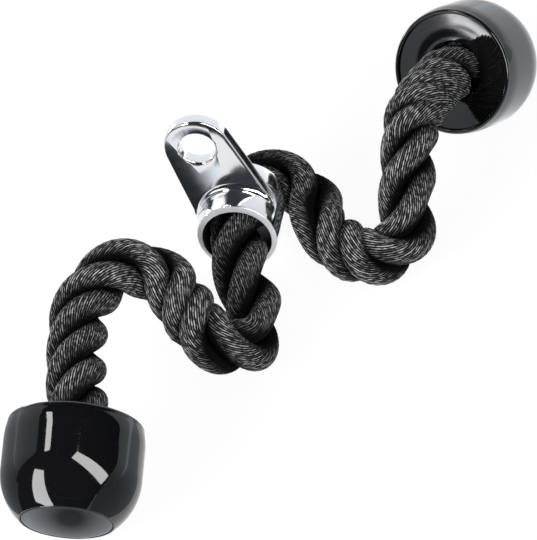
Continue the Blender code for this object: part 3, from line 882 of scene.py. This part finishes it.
def dark_room():
    """A sphere round the scene, black in front and overhead and pale round the sides and back."""
    bpy.ops.object.select_all(action="DESELECT")
    bpy.ops.mesh.primitive_uv_sphere_add(segments=ROOM_SEGMENTS, ring_count=ROOM_RINGS, radius=ROOM_RADIUS)
    room = bpy.context.object
    room.name = room.data.name = "dark_room"
    headings, heights = zip(*PALE_UP_TO)
    room.data.materials.append(black_card)
    room.data.materials.append(wall_finish())
    for face in room.data.polygons:
        middle = face.center.normalized()
        heading = math.degrees(math.atan2(middle.x, -middle.y))
        height = math.degrees(math.asin(middle.z))
        face.material_index = int(height < np.interp(heading, headings, heights))
    only_reflected(room)


def cloth(name, corners, height, material):
    """A cloth over the floor with these corners."""
    card(name, [(x, y, height) for x, y in corners], material)


def fading_cloth(name, corners, height, middle, way, fade, light):
    """A cloth that grows lighter along a way over the floor or, with no way, outwards from its middle.

    The light goes from its first value to its second between the two distances of the fade.
    """
    made = shining(name, (0.9, 0.95, 1))
    split = made.split(made.where())
    x, y = (made.math("SUBTRACT", split[axis], start) for axis, start in zip("XY", middle))
    if way is None:
        far = made.distance(x, y)
    else:
        far = made.math("ADD", made.math("MULTIPLY", x, way[0]), made.math("MULTIPLY", y, way[1]))
    made.join(made.spread(far, *fade, *light), made.shader.inputs["Emission Strength"])
    cloth(name, corners, height, made.material)


def round_about(middle, radius, count=24):
    """The corners of a round cloth."""
    return [(middle[0] + radius * math.sin(turn), middle[1] + radius * math.cos(turn))
            for turn in (math.tau * step / count for step in range(count))]


def card_seen(name, place, distance, corners, material):
    """A card whose corners are seen from the place at these headings and heights."""
    card(name, [seen_from(place, heading, height, distance) for heading, height in corners], material)


black_card = glow("black_card", 0.035, (0.75, 0.88, 1.0))
soft_box = glow("soft_box", 10.0)
back_box = glow("back_box", 16.0)
pale_card = glow("pale_card", 1.6)

bpy.ops.object.select_all(action="DESELECT")
bpy.ops.mesh.primitive_plane_add(size=2 * ROOM_RADIUS)
floor = bpy.context.object
floor.name = floor.data.name = "studio_floor"
floor.data.materials.append(floor_finish())
dark_room()

# The cloths are painted reflections that the low sides mirror: dark in front, paler at the sides and behind,
# and a painted shadow with a soft edge under the near knob and painted shade beside the lug
cloth("front_cloth", [
    (-2.95, -0.70), (-0.120, -0.204), (-0.062, -0.247), (0.046, -0.362), (2.0, -2.3), (-2.0, -2.9),
], MIDDLE_CLOTH, black_card)
# Painted shadow under the near knob, seen only in reflections: darkest in its middle and fading out to its
# edge
UNDER_NEAR_KNOB = (-0.083, -0.199)
fading_cloth("painted_knob_shadow", round_about(UNDER_NEAR_KNOB, 0.026), TOP_CLOTH,
             middle=UNDER_NEAR_KNOB, way=None, fade=(0.006, 0.024), light=(0.16, 1.15))
# Painted shade beside the lug, seen only in reflections: dark at one edge and lighter away from it
fading_cloth("painted_lug_shade", [
    (-0.125, -0.046), (-0.058, -0.046), (-0.038, -0.004), (-0.045, 0.025), (-0.100, 0.030),
], TOP_CLOTH, middle=(-0.0712, -0.041), way=(0.896, -0.444), fade=(-0.001, 0.012), light=(0.025, 1.0))
fading_cloth("left_cloth", [
    (-0.125, -0.205), (-0.135, -0.05), (-0.135, 0.20), (-2.9, 0.20), (-2.95, -0.69),
], LOW_CLOTH, middle=(0, 0), way=(0, 1), fade=(-0.20, 0.20), light=(0.34, 0.95))
fading_cloth("right_cloth", [
    (-0.035, -0.20), (0.0, -0.13), (0.06, -0.02), (0.10, 0.08), (2.9, 0.08), (2.0, -2.2), (0.05, -0.36),
    (-0.055, -0.245),
], LOW_CLOTH, middle=(0, 0), way=(0, 1), fade=(-0.25, 0.08), light=(0.34, 0.80))
far_glow = glow("far_glow", 1.35, (0.93, 0.97, 1.0))
cloth("far_cloth", [
    (0.10, 0.10), (0.16, 0.09), (2.9, 0.09), (2.9, 2.9), (0.10, 2.9), (0.10, 0.50), (0.10, 0.26),
], LOW_CLOTH, far_glow)

NEAR_KNOB, FAR_KNOB = (-0.083, -0.178, 0.030), (0.082, 0.157, 0.042)
EYE_TOP, LUG_BACK = (-0.030, 0.040, 0.043), (-0.055, 0.051, 0.060)
card_seen("right_box", NEAR_KNOB, 1.2, [(75, 17), (56, 12), (13, 71), (59, 77)], soft_box)
card_seen("left_box", NEAR_KNOB, 0.15, [(-40, -14), (-13, -14), (-45, 39), (-61, 32)], soft_box)
card_seen("left_black", NEAR_KNOB, 0.24, [(-82, -6), (-40, -6), (-34, 60), (-84, 45)], black_card)
card_seen("thin_box", NEAR_KNOB, 1.2, [(-83, 52), (-81, 60), (-110, 57), (-110, 48)], soft_box)
card_seen("far_wall", FAR_KNOB, 2.0, [(125, -1), (178, -1), (178, 14), (125, 14)], far_glow)
card_seen("eye_box", EYE_TOP, 1.2, [(-66, 8), (-40, 8), (-40, 40), (-66, 40)], pale_card)
card_seen("behind_box", LUG_BACK, 0.5, [(-138, -6), (-114, -6), (-114, 1), (-136, 1)], back_box)


def lamp(name, place, size, power):
    """A square lamp of this many watts, turned to the middle of the floor and not mirrored by anything."""
    light = bpy.data.lights.new(name, "AREA")
    light.size = size
    light.energy = power
    made = bpy.data.objects.new(name, light)
    made.location = place
    made.rotation_euler = (-Vector(place)).to_track_quat("-Z", "Y").to_euler()
    made.visible_glossy = False
    bpy.context.scene.collection.objects.link(made)


lamp("left_lamp", (-1.2, -1.6, 0.80), size=0.9, power=32)
lamp("right_lamp", (0.9, -1.7, 0.80), size=1.0, power=13)

world = bpy.data.worlds.new("studio")
bpy.context.scene.world = world
world.use_nodes = True
background = world.node_tree.nodes["Background"]
background.inputs["Color"].default_value = (1, 1, 1, 1)
world.node_tree.links.new(lit_for(world.node_tree, WORLD_SEEN, WORLD_CAST), background.inputs["Strength"])
bpy.context.scene.view_settings.view_transform = "Standard"
